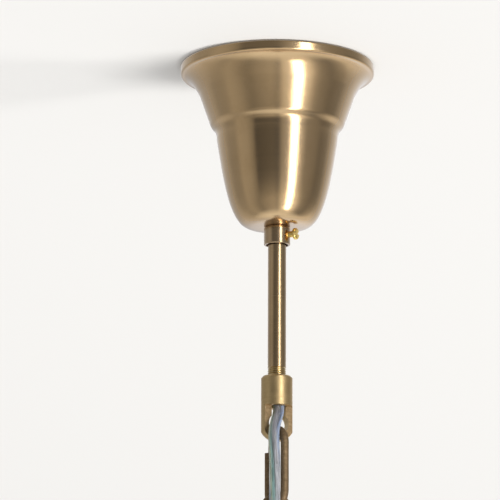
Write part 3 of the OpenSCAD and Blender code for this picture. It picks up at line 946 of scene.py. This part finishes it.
# ---------------------------------------------------------------- the spun cup


@dataclass(frozen=True)
class CanopyCup:
    """The spun cup that covers the bracket, in millimetres.

    Attributes:
        rim_r: Radius of the rim.
        lip_h: Height of its upright lip.
        wall: Thickness of the sheet.
        flare_r: Radius under the lip's cove.
        step_r: Radius of the flare at the step.
        step_z: Depth of the step.
        shoulder: Height of the run from the step into the lower bell.
        bell_r: Radius of the lower bell at its top.
        fall: How early the lower bell starts to close.
        fullness: How full it is at its top.
        tuck: How much fuller it is at its bottom.
        tuck_late: How late that starts.
        height: Height of the cup.
        hole_r: Radius of the bottom hole.
        steps: Segments round the cup.
        merge: Points nearer than this, in metres, are made one.
    """

    rim_r: float = 53.4
    lip_h: float = 5.1
    wall: float = 1.0
    flare_r: float = 42.75
    step_r: float = 36.75
    step_z: float = 33.2
    shoulder: float = 3.8
    bell_r: float = 34.2
    fall: float = 0.76
    fullness: float = 5.83
    tuck: float = 0.6
    tuck_late: float = 16.0
    height: float = 91.1
    hole_r: float = 6.25
    steps: int = 192
    merge: float = 0.000002

    @staticmethod
    def curve(a: Sequence[float], b: Sequence[float], c: Sequence[float], count: int) -> list[Vector]:
        """Points of a quadratic curve.

        Args:
            a: Its start.
            b: Its control point.
            c: Its end.
            count: Number of steps.

        Returns:
            The points.
        """
        va, vb, vc = Vector(a), Vector(b), Vector(c)
        return [va * (1 - t) ** 2 + vb * 2 * t * (1 - t) + vc * t * t for t in (i / count for i in range(count + 1))]

    def bell(self, t: float) -> tuple[float, float]:
        """A point of the lower bell, from its top at nought to its bottom at one.

        Args:
            t: The share of its height.

        Returns:
            Radius and height.
        """
        top = self.step_z + self.shoulder
        power = self.fullness + self.tuck * t ** self.tuck_late
        return self.bell_r * max(1 - t ** self.fall, 0.0) ** (1 / power), -top - (self.height - top) * t

    def outline(self) -> list[Vector]:
        """The outer outline, from the rim to the bottom hole, as radius and height.

        Returns:
            The points.
        """
        rim, lip, flare, step, top = self.rim_r, -self.lip_h, self.flare_r, self.step_r, -self.step_z
        curves = (
            # the lip's upper and lower edge
            ((rim - 0.3, -0.05), (rim, -0.2), (rim, -0.9), 8),
            ((rim, lip + 1.6), (rim, lip + 0.1), (rim - 1.3, lip), 8),
            # the cove and flare, the step's rolled edge, and the run into the lower bell
            ((rim - 2.1, lip - 0.1), (flare + 4.6, lip - 1.3), (flare, lip - 10.9), 20),
            ((step + 0.2, top + 0.6), (step - 0.15, top - 0.5), (step - 1.4, top - 1.7), 8),
            ((step - 1.9, top - 2.3), (self.bell_r - 0.9, top - self.shoulder), self.bell(0.09), 8),
        )
        points = [Vector((rim - 0.7, 0.0))]
        for curve in curves:
            points += self.curve(*curve)
        points += [Vector(self.bell(math.sin(math.radians(1.5 * i)))) for i in range(7, 61)]
        return [p for p in points if p.x > self.hole_r + 0.2] + [Vector((self.hole_r, -self.height))]

    def build(self, shelf: FinishShelf) -> None:
        """Gives the outline its wall and spins it.

        Args:
            shelf: The finishes.
        """
        outer = self.outline()
        inner: list[Vector] = []
        for i, point in enumerate(outer):
            along = (outer[min(i + 1, len(outer) - 1)] - outer[max(i - 1, 0)]).normalized()
            shifted = point + Vector((along.y, -along.x)) * self.wall
            inner.append(Vector((max(shifted.x, self.hole_r), min(shifted.y, 0.0))))
        shape = bmesh.new()
        verts = [shape.verts.new((p.x * MM, 0.0, p.y * MM)) for p in outer + inner[::-1]]
        edges = [shape.edges.new((verts[i], verts[(i + 1) % len(verts)])) for i in range(len(verts))]
        bmesh.ops.spin(shape, geom=verts + edges, cent=(0, 0, 0), axis=(0, 0, 1), angle=math.tau, steps=self.steps,
                       use_merge=True)
        bmesh.ops.remove_doubles(shape, verts=shape.verts[:], dist=self.merge)
        bmesh.ops.recalc_face_normals(shape, faces=shape.faces[:])
        cup = finish_mesh("spun_cup", shape, sharp=50.0)
        shelf.dress(cup, "satin_brass")
        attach(cup, "canopy")
        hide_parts("canopy_cup")
        LOG.info("spun_cup: %d faces", len(cup.data.polygons))


# ---------------------------------------------------------------- studio


@dataclass(frozen=True)
class Lamp:
    """One soft lamp that faces the part.

    Attributes:
        name: Its name.
        azimuth: Degrees from the camera's side towards the right.
        height: Height of its middle.
        far: Distance from the part's axis.
        size: Width and height.
        watts: Power.
        metal_only: True where only the metal shows it, False where only matt surfaces do.
        colour: Colour of its light.
        aim: The point that it faces.
    """

    name: str
    azimuth: float
    height: float
    far: float
    size: tuple[float, float]
    watts: float
    metal_only: bool
    colour: Colour
    aim: Point = (0.0, 0.0, -0.12)

    def hang(self) -> None:
        """Adds the lamp to the scene."""
        data = bpy.data.lights.new(self.name, "AREA")
        data.shape = "RECTANGLE"
        data.size, data.size_y = self.size
        data.energy = self.watts
        data.color = self.colour
        lamp = bpy.data.objects.new(self.name, data)
        bpy.context.scene.collection.objects.link(lamp)
        turn = math.radians(self.azimuth)
        place = Vector((math.sin(turn) * self.far, -math.cos(turn) * self.far, self.height))
        look = (Vector(self.aim) - place).normalized()
        lamp.matrix_world = Matrix.Translation(place) @ look.to_track_quat("-Z", "Y").to_matrix().to_4x4()
        lamp.visible_camera = False
        lamp.visible_glossy = self.metal_only
        lamp.visible_diffuse = not self.metal_only


@dataclass(frozen=True)
class Studio:
    """Camera, lamps, ceiling and surroundings.

    Attributes:
        aim: The point that the camera looks at.
        pitch: How far it looks up, in degrees.
        roll: How far the picture leans, in degrees.
        distance: From the camera to the point.
        lens: Its focal length in millimetres, on a sensor of the next width.
        sensor: Width of the sensor in millimetres.
        paper: Colour of the background.
        lamps: The lamps.
        paint: Colour of the ceiling near the part.
        paint_glow: How much the ceiling glows there.
        ceiling_z: Height of the ceiling.
        ceiling_half: Half of its side.
        fade: Distances from the part between which the ceiling fades to the background.
        level: Azimuth in degrees and brightness of the room round the part, level with it.
        low: The same, well below it.
        high: The same, above it.
        low_edge: Upward share of a direction at which low is full, and at which it ends.
        high_edge: The same at which high starts, and at which it is full.
        pit: Colour of the room straight below.
        pit_edge: Upward share of a direction at which that is full, and at which it ends.
        warm: Colour of the room in front and at the sides.
        cool: What is added to it behind.
        cool_from: Azimuth behind which the room turns cool, in degrees.
    """

    aim: Point = (-0.0148, 0.0, -0.1037)
    pitch: float = 13.8
    roll: float = 0.2
    distance: float = 2.2
    lens: float = 289.9
    sensor: float = 36.0
    paper: Colour = (0.923, 0.905, 0.871)
    lamps: tuple[Lamp, ...] = (
        Lamp("window_strip", 33.0, -0.6, 2.2, (0.58, 3.7), 46.0, True, (1.0, 0.98, 0.95)),
        Lamp("side_window", 78.0, -9.7, 7.0, (4.2, 4.2), 1305.0, False, (1.0, 0.985, 0.965)))
    paint: Colour = (0.605, 0.60, 0.588)
    paint_glow: float = 0.10
    ceiling_z: float = 0.0006
    ceiling_half: float = 9.0
    fade: tuple[float, float] = (1.7, 4.5)
    level: Stops = (
        (-180, 0.62), (-165, 0.50), (-150, 0.48), (-130, 0.50), (-120, 0.47), (-110, 0.36), (-90, 0.36), (-80, 0.50),
        (-70, 0.48), (-60, 0.46), (-47, 0.29), (-43, 0.10), (-30, 0.13), (-10, 0.155), (2, 0.105), (9, 0.38),
        (24, 0.44), (50, 0.58), (57, 0.31), (70, 0.31), (82, 0.28), (92, 0.20), (110, 0.25), (120, 0.41), (130, 0.54),
        (140, 0.69), (150, 0.73), (160, 0.80), (170, 0.82), (180, 0.74))
    low: Stops = (
        (-180, 1.10), (-172, 0.72), (-160, 0.70), (-130, 0.60), (-110, 0.50), (-98, 0.42), (-80, 0.49), (-68, 0.43),
        (-50, 0.30), (-40, 0.38), (-20, 0.48), (-10, 0.53), (2, 0.36), (9, 0.85), (24, 0.80), (53, 1.0), (62, 0.52),
        (70, 0.35), (88, 0.24), (100, 0.37), (110, 0.50), (120, 0.78), (130, 0.90), (140, 0.87), (160, 0.98),
        (180, 1.10))
    high: Stops = (
        (-180, 0.70), (-160, 0.66), (-130, 0.54), (-110, 0.42), (-90, 0.42), (-75, 0.50), (-60, 0.46), (-47, 0.34),
        (-43, 0.19), (0, 0.22), (12, 0.38), (60, 0.34), (92, 0.27), (110, 0.32), (130, 0.56), (150, 0.80),
        (170, 0.90), (180, 0.84))
    low_edge: tuple[float, float] = (-0.50, -0.15)
    high_edge: tuple[float, float] = (0.06, 0.2)
    pit: Colour = (1.05, 1.08, 1.12)
    pit_edge: tuple[float, float] = (-0.97, -0.78)
    warm: Colour = (1.0, 0.985, 0.96)
    cool: Colour = (0.0, 0.03, 0.12)
    cool_from: float = 150.0

    def camera(self) -> None:
        """Makes the camera at the photograph's viewpoint."""
        data = bpy.data.cameras.new("photo_camera")
        data.lens = self.lens
        data.sensor_width = self.sensor
        camera = bpy.data.objects.new("photo_camera", data)
        bpy.context.scene.collection.objects.link(camera)
        up = math.radians(self.pitch)
        look = Vector((0.0, math.cos(up), math.sin(up)))
        turn = look.to_track_quat("-Z", "Y").to_matrix() @ Matrix.Rotation(math.radians(self.roll), 3, "Z")
        camera.matrix_world = Matrix.Translation(Vector(self.aim) - look * self.distance) @ turn.to_4x4()
        bpy.context.scene.camera = camera

    def ceiling_paint(self) -> bpy.types.Material:
        """Matt paint with a faint glow, as pale as the background further off, and clear from above.

        Returns:
            The material.
        """
        kit = ShaderKit("stage_ceiling_paint")
        seen = kit.node("ShaderNodeLightPath", output="Is Camera Ray")
        behind = kit.node("ShaderNodeNewGeometry", output="Backfacing")
        matt = kit.node("ShaderNodeBsdfDiffuse", {}, {"Color": (*self.paint, 1.0)}, "BSDF")
        near = kit.node("ShaderNodeAddShader", {}, {0: matt, 1: kit.glow(self.paper, self.paint_glow)}, "Shader")
        place = kit.node("ShaderNodeTexCoord", output="Object")
        distance = kit.node("ShaderNodeVectorMath", {"operation": "LENGTH"}, {0: place}, "Value")
        lit = kit.mix(kit.spread(distance, *self.fade, 0.0, 1.0), near, kit.glow(self.paper, 1.0))
        clear = kit.node("ShaderNodeBsdfTransparent", {}, {}, "BSDF")
        return kit.end(kit.mix(seen * (1 - behind), clear, lit))

    def ceiling(self) -> None:
        """The pale ceiling, seen only from below; it keeps the part's shadow."""
        shape = bmesh.new()
        bmesh.ops.create_grid(shape, x_segments=1, y_segments=1, size=self.ceiling_half)
        bmesh.ops.reverse_faces(shape, faces=shape.faces[:])
        bmesh.ops.translate(shape, verts=shape.verts[:], vec=(0.0, 0.0, self.ceiling_z))
        plane = finish_mesh("stage_ceiling", shape)
        plane.data.materials.append(self.ceiling_paint())

    def band(self, kit: ShaderKit, share: Value, stops: Stops) -> Value:
        """The room's brightness at one height.

        Args:
            kit: The world's kit.
            share: The direction, from nought to one for a whole turn.
            stops: Azimuth in degrees and brightness.

        Returns:
            The colour.
        """
        colours = []
        for azimuth, bright in stops:
            behind = max(abs(azimuth) - self.cool_from, 0) / (180 - self.cool_from)
            colour = tuple(bright * (warm + cool * behind) for warm, cool in zip(self.warm, self.cool))
            colours.append(((azimuth + 180) / 360, colour))
        return kit.node("ShaderNodeValToRGB", {"stops": colours}, {0: share}, "Color")

    def world(self) -> None:
        """The room round the part: pale to the camera, brighter and darker sides for the metal to mirror."""
        world = bpy.data.worlds.new("room")
        bpy.context.scene.world = world
        world.use_nodes = True
        kit = ShaderKit("room", world.node_tree)
        way = kit.node("ShaderNodeTexCoord", output="Generated")
        east, north, up = (kit.node("ShaderNodeSeparateXYZ", {}, {0: way}, axis) for axis in "XYZ")
        angle = kit.node("ShaderNodeMath", {"operation": "ARCTAN2"}, {0: east, 1: 0 - north})
        share = angle / math.tau + 0.5
        level, low, high = (self.band(kit, share, stops) for stops in (self.level, self.low, self.high))
        room = kit.blend(kit.spread(up, *self.low_edge, 1.0, 0.0), level, low)
        room = kit.blend(kit.spread(up, *self.high_edge, 0.0, 1.0), room, high)
        room = kit.blend(kit.spread(up, *self.pit_edge, 1.0, 0.0), room, self.pit)
        light = kit.node("ShaderNodeBackground", {}, {"Color": room, "Strength": 1.0}, "Background")
        pale = kit.node("ShaderNodeBackground", {}, {"Color": (*self.paper, 1.0), "Strength": 1.0}, "Background")
        seen = kit.node("ShaderNodeLightPath", output="Is Camera Ray")
        through = kit.node("ShaderNodeLightPath", output="Is Transmission Ray")
        either = kit.node("ShaderNodeMath", {"operation": "MAXIMUM"}, {0: seen, 1: through})
        kit.end(kit.mix(either, light, pale), "ShaderNodeOutputWorld")

    def build(self) -> None:
        """Sets up the stage."""
        self.world()
        self.ceiling()
        for lamp in self.lamps:
            lamp.hang()
        bpy.context.scene.view_settings.view_transform = "Standard"


def main() -> None:
    """Loads the frame, dresses every piece and sets up the studio."""
    logging.basicConfig(level=logging.INFO, format="%(name)s: %(message)s")
    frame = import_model()
    studio = Studio()
    studio.camera()
    shelf = FinishShelf()
    Flex().build(shelf)
    CanopyCup().build(shelf)
    for key, names in FINISH_NODES.items():
        for name in names:
            shelf.coat(frame["nodes"][name], key)
            LOG.info("%s: %s", name, key)
    studio.build()


if __name__ == "__main__":
    main()
